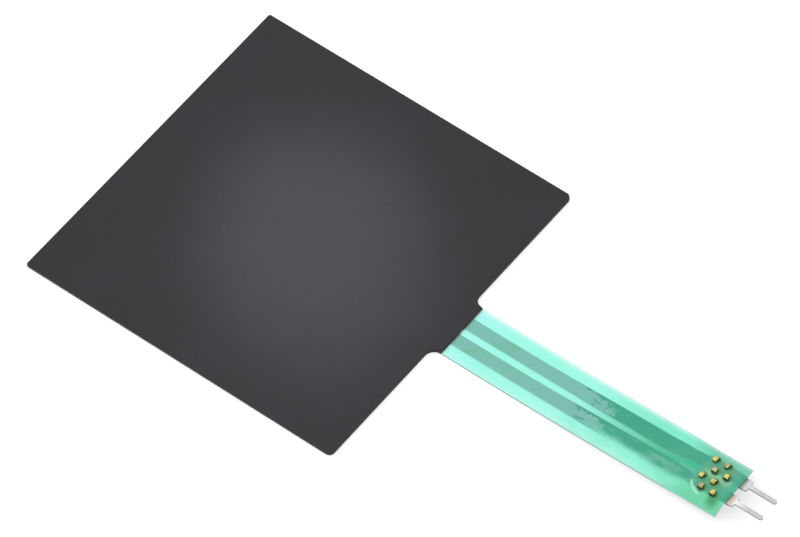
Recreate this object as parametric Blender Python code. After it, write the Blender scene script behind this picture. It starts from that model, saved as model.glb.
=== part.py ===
"""Square force-sensing resistor with a flexible tail and two crimped solder tabs.

The pad is a laminate: rear adhesive, clear base film with two interleaved silver combs, a
spacer adhesive with an open window and a vent, and a black top film that carries the
semiconductor ink. The base film runs on as the tail, where a green coat covers the two
traces, and the claws of the solder tabs pierce the tail and curl back onto it.

Frame: +X runs along the tail towards the solder tabs, +Y across it and +Z out of the active
face. The origin is the centre of the square pad, on its adhesive underside.
"""

import math

import bmesh
import bpy
from mathutils import Matrix, Vector

MM = 0.001
TOUCH = 0.0001 * MM

# Pad and tail, seen from above
SQUARE_SIDE = 43.69 * MM
FAR_CORNER_RADIUS = 0.25 * MM
NEAR_CORNER_RADIUS = 0.7 * MM
CORNER_STEPS = 6
TAIL_WIDTH = 7.5 * MM
TAIL_LENGTH = 39.3 * MM
NECK_FILLET = 1.2 * MM
NECK_FILLET_STEPS = 10
NECK_STRAIGHT = 0.08 * MM

# Thickness of each layer; neighbours keep one bond line between them
ADHESIVE_THICKNESS = 0.05 * MM
FILM_THICKNESS = 0.13 * MM
SPACER_THICKNESS = 0.15 * MM
SILVER_THICKNESS = 0.02 * MM
SEMICONDUCTOR_THICKNESS = 0.02 * MM
COAT_THICKNESS = 0.03 * MM
BOND_LINE = 0.01 * MM

# Rim of the spacer round its window, its vent and the ink inside the window
SPACER_RIM = 2.045 * MM
VENT_WIDTH = 0.6 * MM
INK_MARGIN = 0.1 * MM
PRINT_CLEARANCE = 0.06 * MM

# Printed silver combs and traces
TRACE_WIDTH = 1.6 * MM
FINGER_WIDTH = 0.4 * MM
FINGER_GAP = 0.4 * MM
FINGER_TIP_GAP = 0.7 * MM
BUS_WIDTH = 0.9 * MM
BUS_SETBACK = 0.3 * MM
COAT_SETBACK = 0.15 * MM

# Shape that the tail holds: it curls up, then climbs onto the plates of the tabs
CURL_ANGLE = math.radians(2.1)
CURL_LENGTH = 21.0 * MM
CURL_STEPS = 9
RAMP_HEIGHT = 0.95 * MM
RAMP_LENGTH = 5.5 * MM
RAMP_STEPS = 6
CRIMP_MARGIN = 0.2 * MM
FLAT_MARGIN = 0.08 * MM
WING_STRIPS = 3
WING_POWER = 1.2
LEFT_WING_DROP = 1.12 * MM
RIGHT_WING_DROP = 0.95 * MM
LEFT_CORNER_DRAW = 0.45 * MM
RIGHT_CORNER_DRAW = 0.15 * MM

# Solder tabs, stamped from strip
TAB_PITCH = 2.54 * MM
TAB_THICKNESS = 0.25 * MM
PLATE_MARGIN = 0.31 * MM
PLATE_CHAMFER = 0.2 * MM
SHOULDER_WIDTH = 1.5 * MM
SHOULDER_OVERLAP = 1.05 * MM
SHOULDER_REACH = 0.9 * MM
SHOULDER_ROUND = 0.15 * MM
PIN_WIDTH = 0.55 * MM
PIN_FLARE = 0.12 * MM
TAB_REACH = 4.51 * MM
PIN_TIP_STEPS = 12
JOGGLE_START = 0.15 * MM
JOGGLE_LENGTH = 0.45 * MM
JOGGLE_RISE = 0.1 * MM
JOGGLE_STEPS = 5
EDGE_ROUND = 0.025 * MM
EDGE_ANGLE = math.radians(50.0)

# Claws of a tab: they rise beside the plate, pierce the tail and curl inwards
CLAW_COUNT = 4
CLAW_PITCH = 0.8 * MM
CLAW_SHOULDER_GAP = 0.7 * MM
CLAW_WIDTH = 0.65 * MM
CLAW_TIP_WIDTH = 0.42 * MM
CLAW_SPAN = 1.9 * MM
CLAW_BEND_RADIUS = 0.08 * MM
CLAW_BEND_STEPS = 4
CLAW_CURL_RADIUS = 0.25 * MM
CLAW_CURL_ANGLE = math.radians(195.0)
CLAW_CURL_STEPS = 12
CLAW_LANDING_GAP = 0.03 * MM
SLOT_CLEARANCE = 0.04 * MM

# Places that follow from the sizes above
HALF_SIDE = SQUARE_SIDE / 2
WINDOW_SIDE = SQUARE_SIDE - 2 * SPACER_RIM
NECK_END = HALF_SIDE + NECK_FILLET + NECK_STRAIGHT
TAIL_END = HALF_SIDE + TAIL_LENGTH
LAST_CLAW = TAIL_END - SHOULDER_OVERLAP - CLAW_SHOULDER_GAP
FIRST_CLAW = LAST_CLAW - (CLAW_COUNT - 1) * CLAW_PITCH
PLATE_BACK = FIRST_CLAW - CLAW_WIDTH / 2 - PLATE_MARGIN
CRIMP_START = PLATE_BACK - CRIMP_MARGIN
RAMP_START = CRIMP_START - RAMP_LENGTH
FLAT_WIDTH = TAB_PITCH + CLAW_SPAN + 2 * FLAT_MARGIN
WING_WIDTH = (TAIL_WIDTH - FLAT_WIDTH) / 2
BASE_BOTTOM = ADHESIVE_THICKNESS
BASE_TOP = BASE_BOTTOM + FILM_THICKNESS
SILVER_TOP = BASE_TOP + SILVER_THICKNESS
COAT_TOP = SILVER_TOP + BOND_LINE + COAT_THICKNESS
COVER_BOTTOM = BASE_TOP + SPACER_THICKNESS
COVER_TOP = COVER_BOTTOM + FILM_THICKNESS
BUS_INNER = WINDOW_SIDE / 2 + BUS_SETBACK
BUS_OUTER = BUS_INNER + BUS_WIDTH
TRACE_INNER = (TAB_PITCH - TRACE_WIDTH) / 2
TRACE_OUTER = TRACE_INNER + TRACE_WIDTH
PLATE_TOP = BASE_BOTTOM - BOND_LINE
PLATE_BOTTOM = PLATE_TOP - TAB_THICKNESS
PLATE_HALF_WIDTH = CLAW_SPAN / 2 - TAB_THICKNESS - CLAW_BEND_RADIUS
PRINT_REACH = BUS_OUTER + PRINT_CLEARANCE
RELIEF_TOP = SILVER_TOP + BOND_LINE
ABOVE_ALL = COVER_TOP + TAB_THICKNESS

# Colour, roughness, metallic value and alpha of each material
FINISHES = {
    "clear_adhesive": ((0.80, 0.78, 0.66), 0.45, 0.0, 1.0),
    "clear_film": ((0.62, 0.95, 0.84), 0.18, 0.0, 0.5),
    "silver_ink": ((0.62, 0.64, 0.60), 0.42, 0.6, 1.0),
    "white_adhesive": ((0.74, 0.75, 0.72), 0.5, 0.0, 1.0),
    "carbon_ink": ((0.02, 0.02, 0.022), 0.7, 0.0, 1.0),
    "black_film": ((0.045, 0.045, 0.055), 0.42, 0.0, 1.0),
    "green_coat": ((0.10, 0.62, 0.42), 0.2, 0.0, 0.6),
    "tinned_brass": ((0.72, 0.70, 0.62), 0.28, 1.0, 1.0),
}


def make_material(name):
    """The named material, made on its first use."""
    if name in bpy.data.materials:
        return bpy.data.materials[name]
    color, roughness, metallic, alpha = FINISHES[name]
    material = bpy.data.materials.new(name)
    material.use_nodes = True
    shader = material.node_tree.nodes["Principled BSDF"]
    shader.inputs["Base Color"].default_value = (*color, 1.0)
    shader.inputs["Roughness"].default_value = roughness
    shader.inputs["Metallic"].default_value = metallic
    shader.inputs["Alpha"].default_value = alpha
    return material


def arc(center_x, center_y, radius, start_degrees, end_degrees, steps):
    """Points of an arc, both ends included."""
    points = []
    for step in range(steps + 1):
        angle = math.radians(start_degrees + (end_degrees - start_degrees) * step / steps)
        x = center_x + radius * math.cos(angle)
        y = center_y + radius * math.sin(angle)
        points.append((x, y))
    return points


def corner(side_x, side_y, radius):
    """Rounded corner of the square in the quadrant given by the two signs, anticlockwise."""
    start = {(-1, -1): 180, (1, -1): 270, (1, 1): 0, (-1, 1): 90}[(side_x, side_y)]
    reach = HALF_SIDE - radius
    return arc(side_x * reach, side_y * reach, radius, start, start + 90, CORNER_STEPS)


def neck_end():
    """The two corners where the black film stops."""
    return [(NECK_END, -TAIL_WIDTH / 2), (NECK_END, TAIL_WIDTH / 2)]


def wing_share(y):
    """How far out in a wing y lies: 0 at the flat middle, 1 at the tail's edge."""
    return min(max(abs(y) - FLAT_WIDTH / 2, 0.0) / WING_WIDTH, 1.0) ** WING_POWER


def tail_end():
    """Points along the tail's end: square, its two bent corners drawn back."""
    points = []
    for side, draw in ((-1, RIGHT_CORNER_DRAW), (1, LEFT_CORNER_DRAW)):
        for strip in range(WING_STRIPS + 1):
            y = side * (FLAT_WIDTH / 2 + WING_WIDTH * strip / WING_STRIPS)
            points.append((TAIL_END - draw * wing_share(y), y))
    return sorted(points, key=lambda point: point[1])


def pad_outline(strip_end):
    """Square pad with the filleted neck and a strip that ends in the given points."""
    fillet_x = HALF_SIDE + NECK_FILLET
    fillet_y = TAIL_WIDTH / 2 + NECK_FILLET
    points = corner(-1, -1, FAR_CORNER_RADIUS)
    points += corner(1, -1, NEAR_CORNER_RADIUS)
    points += arc(fillet_x, -fillet_y, NECK_FILLET, 180, 90, NECK_FILLET_STEPS)
    points += strip_end
    points += arc(fillet_x, fillet_y, NECK_FILLET, 270, 180, NECK_FILLET_STEPS)
    points += corner(1, 1, NEAR_CORNER_RADIUS)
    points += corner(-1, 1, FAR_CORNER_RADIUS)
    return points


def rectangle(x_low, x_high, y_low, y_high):
    return [(x_low, y_low), (x_high, y_low), (x_high, y_high), (x_low, y_high)]


def centred_square(half):
    return rectangle(-half, half, -half, half)


def comb_outline(side):
    """Trace, lead, bus bar and fingers of one comb; side is +1 or -1 across the tail."""
    finger_tip = FINGER_TIP_GAP - BUS_INNER
    pitch = FINGER_WIDTH + FINGER_GAP
    finger_count = int((WINDOW_SIDE - FINGER_WIDTH) / pitch) + 1
    first = -(finger_count - 1) * pitch / 2
    points = [(TAIL_END, TRACE_INNER), (BUS_INNER, TRACE_INNER), (BUS_INNER, BUS_INNER)]
    for index in reversed(range(finger_count)):
        belongs_to = 1 if index % 2 == 0 else -1
        if belongs_to != side:
            continue
        left = first + index * pitch - FINGER_WIDTH / 2
        right = left + FINGER_WIDTH
        points += [(right, BUS_INNER), (right, finger_tip), (left, finger_tip), (left, BUS_INNER)]
    points += [(-BUS_INNER, BUS_INNER), (-BUS_INNER, BUS_OUTER), (BUS_OUTER, BUS_OUTER)]
    points += [(BUS_OUTER, TRACE_OUTER), (TAIL_END, TRACE_OUTER)]
    return [(x, side * y) for x, y in points]


def add_object(name, bm, material=None):
    mesh = bpy.data.meshes.new(name)
    bmesh.ops.recalc_face_normals(bm, faces=bm.faces)
    bm.to_mesh(mesh)
    bm.free()
    obj = bpy.data.objects.new(name, mesh)
    bpy.context.collection.objects.link(obj)
    if material:
        mesh.materials.append(material)
    return obj


def extruded(outline, bottom, top):
    """Closed prism over an outline."""
    bm = bmesh.new()
    base = bm.faces.new([bm.verts.new((x, y, bottom)) for x, y in outline])
    result = bmesh.ops.extrude_face_region(bm, geom=[base])
    raised = [item for item in result["geom"] if isinstance(item, bmesh.types.BMVert)]
    bmesh.ops.translate(bm, verts=raised, vec=(0, 0, top - bottom))
    return bm


def add_layer(name, outline, bottom, top, finish):
    """One flat layer of the laminate, named and finished."""
    return add_object(name, extruded(outline, bottom, top), make_material(finish))


def cut(target, cutter_prisms):
    """Cuts prisms, each an outline with a bottom and a top, out of an object for good."""
    cutters = []
    for outline, bottom, top in cutter_prisms:
        cutter = add_object(target.name + "_cutter", extruded(outline, bottom, top))
        cutter.hide_render = True
        cutter.display_type = "WIRE"
        modifier = target.modifiers.new("cut", "BOOLEAN")
        modifier.operation = "DIFFERENCE"
        modifier.solver = "EXACT"
        modifier.object = cutter
        cutters.append(cutter)
    graph = bpy.context.evaluated_depsgraph_get()
    result = bpy.data.meshes.new_from_object(target.evaluated_get(graph))
    target.modifiers.clear()
    target.data = result
    for cutter in cutters:
        bpy.data.objects.remove(cutter)


def smooth_step(value):
    value = min(max(value, 0.0), 1.0)
    return value * value * (3.0 - 2.0 * value)


def curl_height(x):
    """Height that the gentle curl gives the tail at x."""
    run = max(x - NECK_END, 0.0)
    slope = math.tan(CURL_ANGLE)
    if run < CURL_LENGTH:
        return slope * run * run / (2.0 * CURL_LENGTH)
    return slope * (run - CURL_LENGTH / 2.0)


def tail_height(x, y):
    """Lift of the tail above its flat state: curl, and the ramp, whose wings droop."""
    drop = LEFT_WING_DROP if y > 0 else RIGHT_WING_DROP
    ramp = smooth_step((x - RAMP_START) / RAMP_LENGTH)
    return curl_height(x) + ramp * (RAMP_HEIGHT - drop * wing_share(y))


def tab_height(x):
    """Lift of a solder tab: with the tail as far as the joggle, then level."""
    joggle_x = TAIL_END + JOGGLE_START
    if x <= joggle_x:
        return tail_height(x, 0.0)
    rise = JOGGLE_RISE * smooth_step((x - joggle_x) / JOGGLE_LENGTH)
    return tail_height(joggle_x, 0.0) + rise


def split(bm, point, normal, keep):
    """Splits the faces that keep() accepts along a plane."""
    faces = [face for face in bm.faces if keep(face)]
    edges = {edge for face in faces for edge in face.edges}
    verts = {vert for face in faces for vert in face.verts}
    geometry = [*verts, *edges, *faces]
    bmesh.ops.bisect_plane(bm, geom=geometry, dist=TOUCH, plane_co=point, plane_no=normal)


def beyond(x_low):
    """Test for faces that lie past x_low."""
    return lambda face: min(vert.co.x for vert in face.verts) > x_low - TOUCH


def in_wings(face):
    flat_edge = FLAT_WIDTH / 2 - TOUCH
    sides = [vert.co.y for vert in face.verts]
    past_ramp_start = min(vert.co.x for vert in face.verts) > RAMP_START - TOUCH
    return past_ramp_start and (min(sides) > flat_edge or max(sides) < -flat_edge)


def shape_tail(obj):
    """Gives a flat layer of the tail the shape that the tail holds."""
    bm = bmesh.new()
    bm.from_mesh(obj.data)
    split(bm, (NECK_END, 0, 0), (1, 0, 0), lambda face: True)
    for step in range(1, CURL_STEPS + 1):
        station = NECK_END + CURL_LENGTH * step / CURL_STEPS
        split(bm, (station, 0, 0), (1, 0, 0), beyond(NECK_END))
    for step in range(RAMP_STEPS + 1):
        station = RAMP_START + RAMP_LENGTH * step / RAMP_STEPS
        split(bm, (station, 0, 0), (1, 0, 0), beyond(NECK_END))
    for side in (-1, 1):
        for strip in range(WING_STRIPS):
            line = FLAT_WIDTH / 2 + WING_WIDTH * strip / WING_STRIPS
            split(bm, (0, side * line, 0), (0, 1, 0), beyond(RAMP_START))
    for face in [face for face in bm.faces if in_wings(face) and len(face.verts) == 4]:
        by_place = sorted(face.verts, key=lambda vert: vert.co.x + abs(vert.co.y))
        if abs(face.normal.z) > 0.5:
            bmesh.utils.face_split(face, by_place[0], by_place[-1])
    for vert in bm.verts:
        vert.co.z += tail_height(vert.co.x, vert.co.y)
    bm.to_mesh(obj.data)
    bm.free()


def claw_places():
    """Place along X and side of each claw, the one furthest from the pin first."""
    for index in range(CLAW_COUNT):
        yield FIRST_CLAW + index * CLAW_PITCH, 1 if index % 2 == 0 else -1


def claw_slots():
    """Prisms that open the tail where the claws pass through it."""
    outer = CLAW_SPAN / 2 + SLOT_CLEARANCE
    inner = CLAW_SPAN / 2 - TAB_THICKNESS - SLOT_CLEARANCE
    half_length = CLAW_WIDTH / 2 + SLOT_CLEARANCE
    slots = []
    for tab_side in (-1, 1):
        middle = tab_side * TAB_PITCH / 2
        for x, side in claw_places():
            edges = sorted((middle + side * inner, middle + side * outer))
            outline = rectangle(x - half_length, x + half_length, *edges)
            slots.append((outline, PLATE_BOTTOM, COAT_TOP + TAB_THICKNESS))
    return slots


def tab_side_points(side):
    """Edge of the flat tab from the back of its plate to the start of the pin's round tip."""
    shoulder_back = TAIL_END - SHOULDER_OVERLAP
    shoulder_front = TAIL_END + SHOULDER_REACH
    half_shoulder = SHOULDER_WIDTH / 2
    half_pin = PIN_WIDTH / 2
    points = [(PLATE_BACK, PLATE_HALF_WIDTH - PLATE_CHAMFER)]
    points += [(PLATE_BACK + PLATE_CHAMFER, PLATE_HALF_WIDTH)]
    for x, claw_side in claw_places():
        if claw_side == side:
            points += [(x - CLAW_WIDTH / 2, PLATE_HALF_WIDTH), (x + CLAW_WIDTH / 2, PLATE_HALF_WIDTH)]
    points += [(shoulder_back, PLATE_HALF_WIDTH)]
    points += [(shoulder_back + half_shoulder - PLATE_HALF_WIDTH, half_shoulder)]
    round_x = shoulder_front - SHOULDER_ROUND
    round_y = half_shoulder - SHOULDER_ROUND
    points += arc(round_x, round_y, SHOULDER_ROUND, 90, 0, CORNER_STEPS)
    flare_x = shoulder_front + PIN_FLARE
    flare_y = half_pin + PIN_FLARE
    points += arc(flare_x, flare_y, PIN_FLARE, 180, 270, CORNER_STEPS)
    return [(x, side * y) for x, y in points]


def tab_outline():
    """Flat blank of a tab, anticlockwise, with its own centre line at y = 0."""
    tip_x = TAIL_END + TAB_REACH - PIN_WIDTH / 2
    tip = arc(tip_x, 0.0, PIN_WIDTH / 2, -90, 90, PIN_TIP_STEPS)
    return tab_side_points(-1) + tip + list(reversed(tab_side_points(1)))


def extrude_on(bm, face, move, turn=0.0, center=None, width_scale=1.0):
    """Pulls a face on: by a move, by a turn about X through a centre, or with a new width."""
    new_face = bmesh.ops.extrude_discrete_faces(bm, faces=[face])["faces"][0]
    verts = list(new_face.verts)
    bmesh.ops.translate(bm, verts=verts, vec=move)
    if center is not None:
        turning = Matrix.Rotation(turn, 3, "X")
        bmesh.ops.rotate(bm, cent=center, matrix=turning, verts=verts)
    middle = new_face.calc_center_median()
    about_middle = Matrix.Translation(-middle)
    bmesh.ops.scale(bm, vec=(width_scale, 1, 1), space=about_middle, verts=verts)
    return new_face


def raise_claw(bm, x, side):
    """Bends a claw up out of the plate's edge and curls it over the tail."""
    root = Vector((x, side * PLATE_HALF_WIDTH, (PLATE_BOTTOM + PLATE_TOP) / 2))
    face = min(bm.faces, key=lambda item: (item.calc_center_median() - root).length)
    still = Vector((0, 0, 0))
    bend_center = Vector((x, side * PLATE_HALF_WIDTH, PLATE_TOP + CLAW_BEND_RADIUS))
    bend_step = side * math.radians(90.0) / CLAW_BEND_STEPS
    for _ in range(CLAW_BEND_STEPS):
        face = extrude_on(bm, face, still, bend_step, bend_center)
    landing = COAT_TOP + CLAW_LANDING_GAP
    curl_sweep_down = CLAW_CURL_RADIUS + TAB_THICKNESS / 2
    tip_drop = curl_sweep_down * math.sin(CLAW_CURL_ANGLE - math.pi)
    curl_z = landing + tip_drop
    leg_y = CLAW_SPAN / 2 - TAB_THICKNESS / 2
    face = extrude_on(bm, face, Vector((0, 0, curl_z - bend_center.z)))
    curl_center = Vector((x, side * (leg_y - CLAW_CURL_RADIUS), curl_z))
    curl_step = side * CLAW_CURL_ANGLE / CLAW_CURL_STEPS
    taper = (CLAW_TIP_WIDTH / CLAW_WIDTH) ** (1.0 / CLAW_CURL_STEPS)
    for _ in range(CLAW_CURL_STEPS):
        face = extrude_on(bm, face, still, curl_step, curl_center, taper)


def add_solder_tab(name, side):
    """One solder tab, formed from its flat blank and shifted onto its trace."""
    bm = extruded(tab_outline(), PLATE_BOTTOM, PLATE_TOP)
    bmesh.ops.recalc_face_normals(bm, faces=bm.faces)
    for x, claw_side in claw_places():
        raise_claw(bm, x, claw_side)
    for step in range(JOGGLE_STEPS + 1):
        station = TAIL_END + JOGGLE_START + JOGGLE_LENGTH * step / JOGGLE_STEPS
        split(bm, (station, 0, 0), (1, 0, 0), beyond(PLATE_BACK))
    for vert in bm.verts:
        vert.co.z += tab_height(vert.co.x)
        vert.co.y += side * TAB_PITCH / 2
    tab = add_object(name, bm, make_material("tinned_brass"))
    rounding = tab.modifiers.new("edge_round", "BEVEL")
    rounding.width = EDGE_ROUND
    rounding.segments = 1
    rounding.limit_method = "ANGLE"
    rounding.angle_limit = EDGE_ANGLE


def trace_grooves():
    """Prisms that leave room for the two traces under a layer that lies over them."""
    grooves = []
    for side in (-1, 1):
        near = side * (TRACE_INNER - PRINT_CLEARANCE)
        far = side * (TRACE_OUTER + PRINT_CLEARANCE)
        outline = rectangle(0.0, TAIL_END + TAB_REACH, min(near, far), max(near, far))
        grooves.append((outline, 0.0, RELIEF_TOP))
    return grooves


def add_rear_adhesive():
    outline = pad_outline(neck_end())
    add_layer("rear_adhesive", outline, 0.0, BASE_BOTTOM - BOND_LINE, "clear_adhesive")


def add_base_film():
    outline = pad_outline(tail_end())
    film = add_layer("base_film", outline, BASE_BOTTOM, BASE_TOP - BOND_LINE, "clear_film")
    cut(film, claw_slots())
    shape_tail(film)


def add_electrode_comb(name, side):
    comb = add_layer(name, comb_outline(side), BASE_TOP, SILVER_TOP, "silver_ink")
    cut(comb, claw_slots())
    shape_tail(comb)


def add_spacer():
    """Adhesive frame that holds the ink off the combs and lets air out along the neck."""
    outline = pad_outline(neck_end())
    spacer = add_layer("spacer_adhesive", outline, BASE_TOP, COVER_BOTTOM - BOND_LINE, "white_adhesive")
    window = (centred_square(WINDOW_SIDE / 2), 0.0, ABOVE_ALL)
    print_relief = (centred_square(PRINT_REACH), 0.0, RELIEF_TOP)
    vent = (rectangle(0.0, TAIL_END, -VENT_WIDTH / 2, VENT_WIDTH / 2), 0.0, ABOVE_ALL)
    cut(spacer, [window, print_relief, vent] + trace_grooves())


def add_semiconductor_ink():
    outline = centred_square(WINDOW_SIDE / 2 - INK_MARGIN)
    bottom = COVER_BOTTOM - SEMICONDUCTOR_THICKNESS
    add_layer("semiconductor_ink", outline, bottom, COVER_BOTTOM - BOND_LINE, "carbon_ink")


def add_top_film():
    add_layer("top_film", pad_outline(neck_end()), COVER_BOTTOM, COVER_TOP, "black_film")


def add_cover_coat():
    start = NECK_END + COAT_SETBACK
    outline = [(start, -TAIL_WIDTH / 2), *tail_end(), (start, TAIL_WIDTH / 2)]
    coat = add_layer("cover_coat", outline, BASE_TOP, COAT_TOP, "green_coat")
    cut(coat, trace_grooves() + claw_slots())
    shape_tail(coat)


def main():
    for old in list(bpy.data.objects):
        bpy.data.objects.remove(old)
    add_rear_adhesive()
    add_base_film()
    add_spacer()
    add_semiconductor_ink()
    add_top_film()
    add_cover_coat()
    for word, side in (("left", 1), ("right", -1)):
        add_electrode_comb("electrode_comb_" + word, side)
        add_solder_tab("solder_tab_" + word, side)


main()
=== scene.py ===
"""Looks of a square force-sensing resistor with a clear green tail and crimped solder tabs.

The solids come from the frame and keep their place. This file finishes each of them, adds the
lips of film that the claws raised where they pierce the tail, and sets the studio. Distances
in the code are metres; MM turns millimetres into them. Places along the tail are counted from
the middle of the pad, and left and right are those of someone who looks along the tail from it.
"""

import math

import bmesh
import bpy
from mathutils import Matrix, Vector
from mathutils.bvhtree import BVHTree


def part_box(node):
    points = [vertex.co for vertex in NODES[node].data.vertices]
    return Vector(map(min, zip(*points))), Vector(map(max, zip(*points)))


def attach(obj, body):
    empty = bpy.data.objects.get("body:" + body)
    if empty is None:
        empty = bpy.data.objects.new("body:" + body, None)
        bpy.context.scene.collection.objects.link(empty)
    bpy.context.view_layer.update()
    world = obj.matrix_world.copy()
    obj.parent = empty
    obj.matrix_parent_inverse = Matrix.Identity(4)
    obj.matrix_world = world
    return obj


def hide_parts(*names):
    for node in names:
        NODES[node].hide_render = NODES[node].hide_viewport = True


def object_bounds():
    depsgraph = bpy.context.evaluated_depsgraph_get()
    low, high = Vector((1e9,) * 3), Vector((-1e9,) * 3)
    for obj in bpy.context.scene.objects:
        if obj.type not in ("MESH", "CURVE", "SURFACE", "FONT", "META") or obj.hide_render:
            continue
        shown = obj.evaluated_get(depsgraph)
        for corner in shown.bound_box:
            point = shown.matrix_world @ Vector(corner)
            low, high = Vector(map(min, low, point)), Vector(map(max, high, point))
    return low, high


bl_info = {
    "name": "Force Sensor Looks",
    "version": (1, 0, 0),
    "blender": (4, 5, 0),
    "location": "View3D > Sidebar > Force Sensor",
    "description": "Finishes a square force-sensing resistor and sets its studio",
    "category": "Object",
}

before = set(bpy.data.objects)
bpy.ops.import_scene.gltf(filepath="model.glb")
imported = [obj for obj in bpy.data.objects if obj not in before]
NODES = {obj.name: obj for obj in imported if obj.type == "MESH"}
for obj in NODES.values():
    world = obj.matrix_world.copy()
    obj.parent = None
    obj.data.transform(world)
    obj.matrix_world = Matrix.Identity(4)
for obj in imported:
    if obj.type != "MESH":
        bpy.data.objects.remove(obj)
CAD_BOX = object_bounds()

MM = 0.001
PAD_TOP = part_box("top_film")[1].z
TAIL_LOW, TAIL_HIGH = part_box("cover_coat")
TAB_LOW, TAB_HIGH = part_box("solder_tab_left")
NECK_X = TAIL_LOW.x
TAIL_END_X = TAIL_HIGH.x
TAB_PITCH = TAB_LOW.y + TAB_HIGH.y

CLAWS_PER_TAB = 4
CLAW_PITCH = 0.8 * MM
CLAW_SPAN = TAB_HIGH.y - TAB_LOW.y
CLAW_SETBACK = 1.75 * MM
STRIP = 0.25 * MM
TRACE_LEFT = 2.07 * MM
WHITE = (1.0, 1.0, 1.0)


def srgb(red, green, blue):
    """Linear colour of a colour written as it looks on screen, each channel out of 255."""
    linear = []
    for value in (red, green, blue):
        share = value / 255.0
        linear.append(share / 12.92 if share <= 0.04045 else ((share + 0.055) / 1.055) ** 2.4)
    return tuple(linear)


def claw_row(index, setback=CLAW_SETBACK, pitch=CLAW_PITCH):
    """Middle of a row of claws along the tail; the row nearest the pad is the first."""
    return TAIL_END_X - setback - (CLAWS_PER_TAB - 1 - index) * pitch


def color_property(name, description, color):
    """Setting for a colour."""
    return bpy.props.FloatVectorProperty(
        name=name, description=description, default=color, subtype="COLOR", size=3, min=0.0, max=1.0
    )


def share_property(name, description, value):
    """Setting for a share between 0 and 1."""
    return bpy.props.FloatProperty(
        name=name, description=description, default=value, subtype="FACTOR", min=0.0, max=1.0
    )


def length_property(name, description, value):
    """Setting for a length in metres."""
    return bpy.props.FloatProperty(
        name=name, description=description, default=value, unit="LENGTH", precision=6
    )


def number_property(name, description, value):
    """Setting for a plain number."""
    return bpy.props.FloatProperty(name=name, description=description, default=value)


class PadLook(bpy.types.PropertyGroup):
    """Finish of the square pad."""

    film: color_property("Film", "Body colour of the black top film", srgb(6, 4, 14))
    film_cloud: color_property("Film clouds", "Colour of the faint clouds in it", srgb(14, 12, 24))
    film_roughness: share_property("Film roughness", "Roughness of the satin top film", 0.28)
    grain: length_property("Grain depth", "Depth of the satin film's fine grain", 0.0012 * MM)
    spacer: color_property("Spacer", "Colour of the dark spacer adhesive", srgb(34, 36, 36))
    carbon: color_property("Carbon ink", "Colour of the semiconductor ink", srgb(28, 28, 30))
    glue: color_property("Rear adhesive", "Colour of the rear adhesive", srgb(206, 204, 186))
    glue_alpha: share_property("Adhesive opacity", "Opacity of the rear adhesive", 0.35)


class TailLook(bpy.types.PropertyGroup):
    """Finish of the clear tail, its green coat and the silver print below it; several coat colours
    are painted light and shade.
    """

    film: color_property("Clear film", "Colour of the clear base film", srgb(176, 226, 208))
    film_edge: color_property("Film edge", "Colour of the film's cut edge", srgb(120, 184, 162))
    film_alpha: share_property("Film opacity", "Opacity of the clear base film", 0.35)
    silver: color_property("Silver ink", "Colour of the printed silver", srgb(150, 156, 150))
    root: color_property("Root", "Coat over clear film at the pad", srgb(164, 250, 239))
    mint: color_property("Mint", "Coat over clear film, near the root", srgb(152, 251, 229))
    # the lane colours darken further out as painted shade of the tail lifting off the floor; the
    # middle lane is darkest as the painted shadow of the traces
    left_lane: color_property("Left lane", "Coat left of the traces", srgb(122, 238, 206))
    middle_lane: color_property("Middle lane", "Coat between the traces", srgb(50, 184, 142))
    right_lane: color_property("Right lane", "Coat right of the traces", srgb(144, 244, 218))
    left_end: color_property("Left end", "Coat left of the claws", srgb(100, 213, 176))
    left_rim: color_property("Left rim", "Coat along the left edge there", srgb(176, 244, 222))
    right_end: color_property("Right end", "Coat right of the claws", srgb(106, 218, 168))
    right_rim: color_property("Right rim", "Coat along the right edge there", srgb(116, 216, 176))
    glare: color_property("Glare", "Coat along its edges", srgb(240, 250, 255))
    # painted reflection of the softbox on the coat over the traces near the pad, with greener
    # patches in it
    reflected_trace: color_property("Hazy trace", "Coat over a trace, near the pad", srgb(115, 185, 170))
    reflected_patch: color_property("Hazy patches", "Greener patches of it", srgb(102, 180, 148))
    clear_trace: color_property("Clear trace", "Coat over a trace, further out", srgb(46, 161, 130))
    # painted shadow of the print along the right side of each trace
    trace_shadow: color_property("Green trace", "Coat over a trace's right side", srgb(58, 162, 120))
    # the haze whose border the flecks follow is the painted reflection of the softbox
    fleck: color_property("Flecks", "Faint flecks at the border of the haze", srgb(60, 148, 124))
    streak: color_property("Streaks", "Cloudy streaks over the right trace", srgb(96, 180, 156))
    crimp: color_property("Crimp", "Coat over the plates of the tabs", srgb(82, 174, 140))
    # painted reflection of the brass claws in the coat over the plates
    claw_reflection: color_property("Brassy crimp", "Coat over bare brass", srgb(112, 162, 104))
    crimp_ridge: color_property("Crimp ridge", "Coat between the two tabs", srgb(138, 206, 160))
    # painted shade round the claws, set off a little along the tail
    claw_shade: color_property("Halo", "Strained coat round a claw", srgb(64, 118, 66))
    # painted shade: a deeper green spot under the last claw
    last_claw_shade: color_property("Crease", "Deep green crease at the last claw", srgb(62, 160, 104))
    # painted highlight: a bright arc over a plate's back edge
    bulge: color_property("Bulge", "Bright rim of the bulge over a plate", srgb(176, 246, 226))
    coat_alpha: share_property("Coat opacity", "Opacity of the coat over clear film", 0.9)
    trace_alpha: share_property("Trace opacity", "Opacity of the coat over the traces", 0.95)
    roughness: share_property("Coat roughness", "Roughness of the glossy coat", 0.3)


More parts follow.
